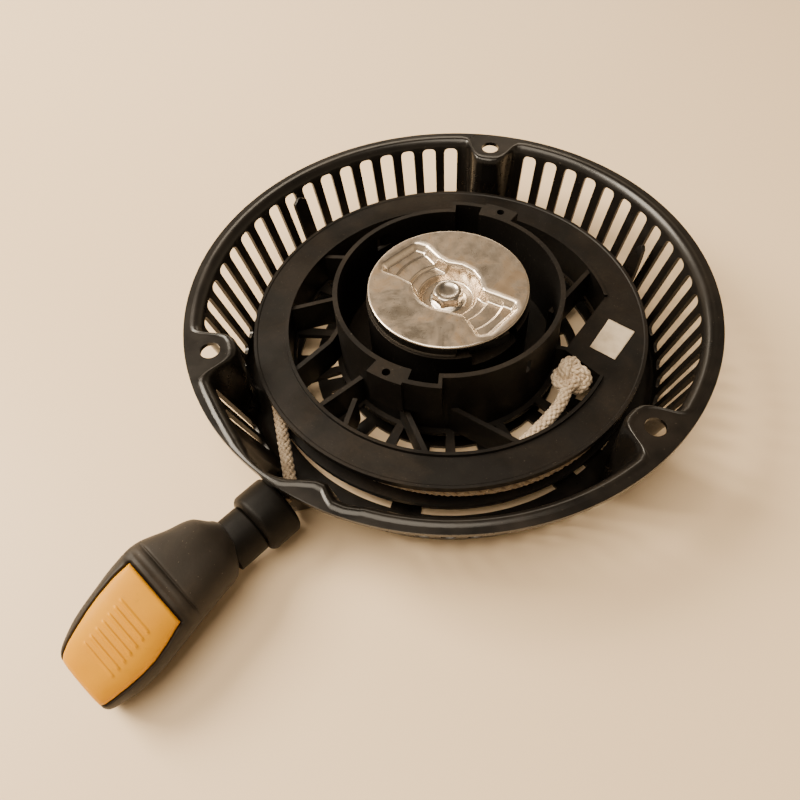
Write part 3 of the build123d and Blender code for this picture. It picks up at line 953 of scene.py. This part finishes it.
# --------------------------------------------------------------------- handle
#        s     dw    zc     W     H    n
STN = [(113.90, -3.00, -23.90, 3.00, 4.00, 2.2),
       (114.20, -2.96, -23.80, 10.00, 14.00, 2.4),
       (115.00, -2.90, -23.60, 13.40, 18.60, 2.5),
       (116.50, -2.82, -23.22, 15.74, 21.50, 2.6),
       (120.50, -2.33, -22.42, 23.86, 24.60, 2.8),
       (128.00, -2.24, -21.62, 27.38, 26.80, 3.0),
       (138.00, -2.69, -21.12, 32.05, 28.00, 3.2),
       (146.00, -1.53, -21.32, 32.67, 28.00, 3.2),
       (155.00, 0.20, -22.22, 31.94, 27.20, 3.2),
       (164.00, 1.36, -23.42, 29.69, 25.60, 3.1),
       (169.50, 1.92, -24.10, 26.00, 23.40, 3.0),
       (172.30, 2.30, -24.60, 23.60, 21.40, 2.9),
       (173.50, 2.45, -24.85, 21.40, 19.20, 2.8),
       (174.10, 2.50, -25.00, 18.20, 16.20, 2.7),
       (174.35, 2.50, -25.00, 12.00, 10.00, 2.5)]
ROLL = rad(23.3)
STN = np.array(STN)


def catmull(x, xs, ys):
    """Smooth monotone-ish interpolation."""
    i = int(np.clip(np.searchsorted(xs, x) - 1, 0, len(xs) - 2))
    x0, x1 = xs[i], xs[i + 1]
    t = (x - x0) / (x1 - x0)
    m = lambda k: (ys[min(k + 1, len(ys) - 1)] - ys[max(k - 1, 0)]) / (xs[min(k + 1, len(xs) - 1)] - xs[max(k - 1, 0)])
    m0, m1 = m(i) * (x1 - x0), m(i + 1) * (x1 - x0)
    return ((2 * t ** 3 - 3 * t ** 2 + 1) * ys[i] + (t ** 3 - 2 * t ** 2 + t) * m0
            + (-2 * t ** 3 + 3 * t ** 2) * ys[i + 1] + (t ** 3 - t ** 2) * m1)


def station(s):
    return [catmull(s, STN[:, 0], STN[:, k]) for k in range(1, 6)]


def sup(c, n):
    return math.copysign(abs(c) ** (2.0 / n), c)


INS0, INS1 = 142.8, 173.9        # the insert's ends along the grip
INS_S = [142.8, 149.0, 155.0, 160.0, 165.0, 169.5, 172.3, 173.9]
INS_W = [11.8, 12.7, 12.95, 12.5, 11.6, 10.6, 9.7, 8.6]


def ins_half(s):
    """Half width of the insert at s."""
    return float(np.interp(s, INS_S, INS_W))


def roll_pt(s, dw, zc, x, z):
    """A point of the grip's section at s, with the grip's roll."""
    return hp(s, dw + x * math.cos(ROLL) + z * math.sin(ROLL), zc - x * math.sin(ROLL) + z * math.cos(ROLL))


def top_z(s, x, lift=0.0):
    """Height of the grip's upper face at offset x from its own middle."""
    dw, zc, Wd, H, n = station(s)
    u = min(0.999, abs(x) / (Wd * 0.5))
    return H * 0.5 * (1 - u ** n) ** (1.0 / n) + lift


def build_handle():
    NA = 160
    ss = list(np.concatenate([np.linspace(113.9, 116.4, 12), np.linspace(116.9, 136.2, 36),
                              np.linspace(136.5, 144.0, 34), np.linspace(144.5, 170, 50),
                              np.linspace(170.4, 174.35, 24)]))
    vs, fs = [], []
    for s in ss:
        dw, zc, Wd, H, n = station(s)
        # the raised ring and the groove behind it
        ridge = 0.22 * math.exp(-((s - 138.7) / 0.9) ** 2) - 0.85 * math.exp(-((s - 137.1) / 0.38) ** 2) - 1.05 / (1 + math.exp(-(s - 140.3) * 3.2)) / (1 + math.exp((s - 143.2) * 3.0))
        for k in range(NA):
            a = 2 * math.pi * k / NA
            c, sn = math.cos(a), math.sin(a)
            x = sup(c, n) * Wd * 0.5
            z = sup(sn, n) * H * 0.5
            # ridge only above the belly
            g = 1.0 / (1.0 + math.exp(-(z / (H * 0.5) - 0.30) * 9)) * max(0.0, min(1.0, (0.93 - abs(x) / (Wd * 0.5)) / 0.16))
            L = math.hypot(x, z) + 1e-9
            x += x / L * ridge * g
            z += z / L * ridge * g
            # seat around the insert: a shallow recess
            if sn > 0:
                hx = abs(x)
                ih = ins_half(s)
                inside_x = 1.0 / (1.0 + math.exp((hx - ih - 0.35) * 6.0))
                inside_s = 1.0 / (1.0 + math.exp(-(s - INS0 + 0.45) * 6.0))
                inside_e = 1.0
                z -= 1.5 * inside_x * inside_s * inside_e
            p = roll_pt(s, dw, zc, x, z)
            vs.append(p)
    nr = len(ss)
    for i in range(nr - 1):
        for k in range(NA):
            k2 = (k + 1) % NA
            fs.append((i * NA + k, i * NA + k2, (i + 1) * NA + k2, (i + 1) * NA + k))
    fs.append(tuple(range(NA))[::-1])
    fs.append(tuple((nr - 1) * NA + k for k in range(NA)))
    ob = add("handle_grip", vs, fs, "handle", RUBBER)
    bm = bmesh.new()
    bm.from_mesh(ob.data)
    bmesh.ops.recalc_face_normals(bm, faces=bm.faces)
    bm.to_mesh(ob.data)
    bm.free()
    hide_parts("handle_body")
    return ob


def build_insert():
    """Moulded insert on the grip's upper face, with plain finger ribs."""
    NU, NV = 190, 120
    vs, fs = [], []
    E = 1.15                                         # edge rounding
    for layer in (0, 1):
        for i in range(NU):
            s = INS0 + (INS1 - INS0) * i / (NU - 1)
            ih = min(ins_half(s), station(s)[2] * 0.5 - 0.5) - 0.1
            dw, zc, Wd, H, n = station(s)
            for j in range(NV):
                v = (j / (NV - 1)) * 2 - 1
                x = v * ih
                # distance to the outline, for rounding
                d = min(ih - abs(x), s - INS0, INS1 - s)
                k = min(1.0, max(0.0, d / E))
                lip = (1 - math.sqrt(max(0.0, 1 - (1 - k) ** 2)))
                z = top_z(s, x, 0.42) - lip * 1.3
                # plain ribs across the middle
                if layer == 0:
                    sr = (s - 150.0) / 17.0
                    if 0 <= sr <= 1 and abs(x) < 7.2:
                        ph = (s - 150.0) % 2.45
                        e1 = 1.0 / (1.0 + math.exp((abs(x) - 6.4) * 5))
                        e2 = min(1.0, sr * 12, (1 - sr) * 12)
                        z += 0.42 * e1 * e2 * (1.0 / (1.0 + math.exp((abs(ph - 1.2) - 0.42) * 14)))
                else:
                    z = top_z(s, x, -1.6)
                vs.append(roll_pt(s, dw, zc, x, z))
    off = NU * NV
    for i in range(NU - 1):
        for j in range(NV - 1):
            a, b, c, d = i * NV + j, i * NV + j + 1, (i + 1) * NV + j + 1, (i + 1) * NV + j
            fs.append((a, b, c, d))
            fs.append((off + d, off + c, off + b, off + a))
    for i in range(NU - 1):
        fs.append((i * NV, (i + 1) * NV, off + (i + 1) * NV, off + i * NV))
        fs.append((i * NV + NV - 1, off + i * NV + NV - 1, off + (i + 1) * NV + NV - 1, (i + 1) * NV + NV - 1))
    for j in range(NV - 1):
        fs.append((j, off + j, off + j + 1, j + 1))
        q = (NU - 1) * NV
        fs.append((q + j, q + j + 1, off + q + j + 1, off + q + j))
    ob = add("handle_insert_cap", vs, fs, "handle", YELLOW)
    bm = bmesh.new()
    bm.from_mesh(ob.data)
    bmesh.ops.recalc_face_normals(bm, faces=bm.faces)
    for e in bm.edges:
        if len(e.link_faces) == 2 and e.calc_face_angle(0) > rad(50):
            e.smooth = False
    bm.to_mesh(ob.data)
    bm.free()
    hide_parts("handle_insert")
    return ob


# ------------------------------------------------------------------ build all
build_housing()
lug("housing_lug_a", 131.4, 6.2, -2.5, 86.0, "round")
lug("housing_lug_b", 16.5, 6.6, -8.0, 84.4, "point")

softened("reel", "reel_body", "reel", NYLON, 0.38, 2, 32)

build_guide()
build_bolt()

AX = (np.array([W[0], W[1], 0.0]), np.array([0, 0, 1.0]), np.array([U[0], U[1], 0.0]))


def loop(pts, radii, seg=6):
    return fillet_poly(pts, radii, seg)


o = hp(0)
g = revolve("rope_guide_bush",
            loop([(3.1, SEAT_S + 2.0), (4.5, SEAT_S + 2.0), (4.5, SEAT_S), (7.0, SEAT_S), (7.0, SEAT_S - 2.2), (11.1, SEAT_S - 2.2), (11.1, 106.55), (4.4, 106.55),
                  (3.1, 105.2)],
                 [0, 0, 0, 0, 0.3, 1.8, 2.4, 0.5, 0.4]),
            "housing", GUIDE, o, AX, 128)
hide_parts("rope_guide")

ey = revolve("outlet_ferrule",
             loop([(3.05, SEAT_S - 3.0), (6.6, SEAT_S - 3.0), (6.6, SEAT_S - 1.5), (4.4, SEAT_S - 1.5), (4.4, SEAT_S + 1.8), (3.05, SEAT_S + 1.8)],
                  [0.9, 0.6, 0.2, 0.3, 0.3, 0.2]),
             "housing", STEEL, o, AX, 72)
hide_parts("rope_eyelet")

nk = revolve("handle_neck",
             loop([(2.6, 106.72), (8.4, 106.72), (8.75, 107.3), (8.75, 118.0), (2.6, 118.0)], [0.3, 0.4, 0.4, 0.3, 0.3]),
             "handle", NECK, o, AX, 96)

build_handle()
build_insert()

# ----------------------------------------------------------------------- rope
tA = rad(LEAD_A)
T0 = np.array([LEAD_R * math.cos(tA), LEAD_R * math.sin(tA), AXZ])
D0 = np.array([math.cos(tA + math.pi / 2), math.sin(tA + math.pi / 2), 0.0])
# where the straight lead meets the handle's line
A2 = np.array([[D0[0], -U[0]], [D0[1], -U[1]]])
b2 = hp(0)[:2] - T0[:2]
t_int, s_int = np.linalg.solve(A2, b2)
LI = T0 + D0 * t_int
turn = math.acos(float(np.clip(D0[:2] @ U, -1, 1)))
RB = 7.5
tl = RB * math.tan(turn / 2)
lead = [T0 + D0 * 2.0]
nA = 14
pa = LI - D0 * tl
pb = np.array([LI[0] + U[0] * tl, LI[1] + U[1] * tl, AXZ])
# arc between the two runs
nrm = np.array([U[0], U[1], 0.0]) - D0 * (D0[:2] @ U)
nrm /= np.linalg.norm(nrm)
cen = pa + nrm * RB
for k in range(nA + 1):
    th = turn * k / nA
    lead.append(cen - nrm * RB * math.cos(th) + D0 * RB * math.sin(th))
lead.append(hp(GUIDE_END - 0.6))
ld = braid("rope_lead_braid", lead, "housing", ROPE2)
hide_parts("rope_lead")

# the stretch from the guide into the handle: it pays out when the handle is pulled
run = [hp(GUIDE_END - 1.0), hp(117.0), hp(128.0)]
rn = braid("rope_run_braid", run, "housing", ROPE)
rn.parent = None
rn.matrix_world = Matrix.Identity(4)
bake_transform(rn)
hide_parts("rope_handle_run")

# winding: four turns, two on the drum and two over them
wind = []
for (rr, z, a0, a1) in ((65.9, -24.3, 0, 700), (70.1, -24.1, 720, 1269)):
    pass
turns = []
for k in range(0, 1270, 4):
    a = k
    lay = sstep(np.array([float(k)]), 650, 740)[0]
    z = -24.2 + 4.7 * (sstep(np.array([float(k)]), 300, 380)[0] - sstep(np.array([float(k)]), 940, 1010)[0])
    rr = 65.8 + 4.45 * lay
    # the last turn ends where the lead leaves
    ang = rad(LEAD_A - 1269 + k)
    turns.append((rr * math.cos(ang), rr * math.sin(ang), z))
wn = braid("rope_turns", turns, "reel", ROPE2, n=4, sides=5, wid=2.3, thk=1.1, ds=1.0, core=True)
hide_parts("rope_winding")

# the tail out of the drum, and the knot with its short end
KC = np.array([40.6, -34.4, -12.0])


def trefoil(t, s, c, rot):
    p = np.array([(2 + math.cos(3 * t)) * math.cos(2 * t), (2 + math.cos(3 * t)) * math.sin(2 * t), 1.1 * math.sin(3 * t)]) * s
    return c + rot @ p


def rotm(ax, ang):
    return np.array(Matrix.Rotation(ang, 3, Vector(ax)))


RK = rotm((1, 0, 0), rad(28)) @ rotm((0, 0, 1), rad(-40))
tail_pts = [(18.2, -57.6, -19.5), (24.0, -53.4, -18.3), (29.6, -49.2, -16.8), (34.6, -44.6, -15.2)]
kn_pts = [trefoil(t, 1.72, KC, RK) for t in np.linspace(4.05, 4.05 + 2 * math.pi * 0.94, 46)]
end = kn_pts[-1]
stub = [end + np.array([1.6, -1.6, -0.4]), end + np.array([2.0, -4.0, -1.6])]
ctrl = tail_pts + [(36.8, -41.6, -13.8)] + kn_pts + stub
kp = smooth_path(ctrl, 0.4)
kt = braid("rope_knot_braid", kp, "reel", ROPE)
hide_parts("reel_knot", "rope_tail")

# stopper knot inside the handle: a short turn of the same rope
hk = [hp(127.6), hp(129.1)] + [hp(131.1 + 2.6 * k / 30, 3.0 * math.cos(2 * math.pi * k / 15), AXZ + 3.0 * math.sin(2 * math.pi * k / 15)) for k in range(31)] + [hp(135.8, 1.0)]
ho = braid("handle_knot_braid", hk, "handle", ROPE, ds=0.6)
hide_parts("handle_knot")

# ---------------------------------------------------------------------- label
LQ = [(60.6, -7.6), (68.6, -15.0), (58.2, -27.2), (50.6, -20.2)]


def build_label():
    n = 24
    vs, fs = [], []
    q = [np.array(p) for p in LQ]
    for layer in (0.0, -0.12):
        for i in range(n):
            for j in range(n):
                u, v = i / (n - 1), j / (n - 1)
                p = (q[0] * (1 - u) + q[1] * u) * (1 - v) + (q[3] * (1 - u) + q[2] * u) * v
                z = -13.72 + 0.05 * math.sin(9 * u + 3 * v) + 0.22 * max(0, u - 0.85) / 0.15 * max(0, 0.35 - v) + layer
                vs.append((p[0], p[1], z))
    o2 = n * n
    for i in range(n - 1):
        for j in range(n - 1):
            a, b, c, d = i * n + j, i * n + j + 1, (i + 1) * n + j + 1, (i + 1) * n + j
            fs.append((a, d, c, b))
            fs.append((o2 + a, o2 + b, o2 + c, o2 + d))
    for i in range(n - 1):
        fs.append((i * n, o2 + i * n, o2 + (i + 1) * n, (i + 1) * n))
        fs.append((i * n + n - 1, (i + 1) * n + n - 1, o2 + (i + 1) * n + n - 1, o2 + i * n + n - 1))
        fs.append((i, i + 1, o2 + i + 1, o2 + i))
        k = (n - 1) * n
        fs.append((k + i, o2 + k + i, o2 + k + i + 1, k + i + 1))
    ob = add("label_sticker", vs, fs, "reel", PAPER)
    bm = bmesh.new()
    bm.from_mesh(ob.data)
    bmesh.ops.recalc_face_normals(bm, faces=bm.faces)
    bm.to_mesh(ob.data)
    bm.free()
    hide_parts("label")


build_label()

# ------------------------------------------------- materials of the CAD nodes
CADMAT = {"centre_post": STEEL, "thrust_washer": STEEL, "friction_spring": SPRING, "reel_bush": BRASS,
          "recoil_spring": SPRING, "spring_cover": STEEL, "pawl_pins": STEEL, "pawl_springs": SPRING,
          "pawl_a": STEEL, "pawl_b": STEEL, "handle_core": NECK, "handle_washer": STEEL}
for n, o_ in NODES.items():
    if not o_.hide_render:
        o_.data.materials.clear()
        o_.data.materials.append(CADMAT.get(n, STEEL))

# -------------------------------------------------------------- floor, lights
fm, nt, b = new_mat("floor_pale")
v = coords(nt)
col = mix(nt, ramp(nt, noise_n(nt, v, 3.0, 3, 0.5), [(0.3, 0.0), (0.8, 1.0)]), (0.93, 0.71, 0.47), (0.90, 0.68, 0.445))
nt.links.new(col, b.inputs["Base Color"])
setin(b, Roughness=0.42, Specular_IOR_Level=0.3)
me = bpy.data.meshes.new("floor")
zf = -38.52 * MM
me.from_pydata([(-3, -3, zf), (3, -3, zf), (3, 3, zf), (-3, 3, zf)], [], [(0, 1, 2, 3)])
me.materials.append(fm)
fl = bpy.data.objects.new("floor", me)
scene.collection.objects.link(fl)

w = bpy.data.worlds.new("studio")
scene.world = w
w.use_nodes = True
wn_ = w.node_tree
bg = wn_.nodes["Background"]
tc = wn_.nodes.new("ShaderNodeTexCoord")
sx = wn_.nodes.new("ShaderNodeSeparateXYZ")
wn_.links.new(tc.outputs["Generated"], sx.inputs[0])
sky = ramp(wn_, sx.outputs["Z"], [(0.0, (0.90, 0.70, 0.46)), (0.22, (0.72, 0.555, 0.37)), (0.46, (0.30, 0.235, 0.16)), (0.68, (0.27, 0.21, 0.145)), (0.82, (0.085, 0.067, 0.048)), (1.0, (0.08, 0.064, 0.047))])
wn_.links.new(sky, bg.inputs["Color"])
bg.inputs["Strength"].default_value = 1.0


def area(name, loc, target, size, power, color=(1, 0.93, 0.84), size_y=None):
    ld_ = bpy.data.lights.new(name, "AREA")
    ld_.energy = power
    ld_.color = color
    ld_.shape = "RECTANGLE"
    ld_.size = size
    ld_.size_y = size_y or size
    ob = bpy.data.objects.new(name, ld_)
    scene.collection.objects.link(ob)
    ob.location = loc
    ob.rotation_mode = "QUATERNION"
    ob.rotation_quaternion = (Vector(target) - Vector(loc)).to_track_quat("-Z", "Y")
    return ob


area("key", (-0.85, 0.30, 0.80), (0, 0, 0), 0.60, 29.0, (1, 0.875, 0.70))
area("top", (-0.30, -0.25, 1.25), (-0.05, 0, 0), 0.9, 18.5, (1, 0.865, 0.68))
area("back", (-0.15, 1.5, 0.50), (0, 0, 0), 1.6, 6.5, (1, 0.865, 0.68), 0.25)

# --------------------------------------------------------------------- camera
F, EL, RO = 743.1, rad(54.10), rad(-4.82)
back = Vector((0, -math.cos(EL), math.sin(EL)))
right = Vector((1, 0, 0))
upv = back.cross(right)
r2 = right * math.cos(RO) + upv * math.sin(RO)
u2 = -right * math.sin(RO) + upv * math.cos(RO)
cd = bpy.data.cameras.new("camera")
cd.sensor_width = 36.0
cd.lens = F / 800.0 * 36.0
cam = bpy.data.objects.new("camera", cd)
scene.collection.objects.link(cam)
M = Matrix(((r2.x, u2.x, back.x, -21.04 * MM), (r2.y, u2.y, back.y, -192.49 * MM), (r2.z, u2.z, back.z, 200.74 * MM), (0, 0, 0, 1)))
cam.matrix_world = M
cd.clip_start, cd.clip_end = 0.01, 20
scene.camera = cam
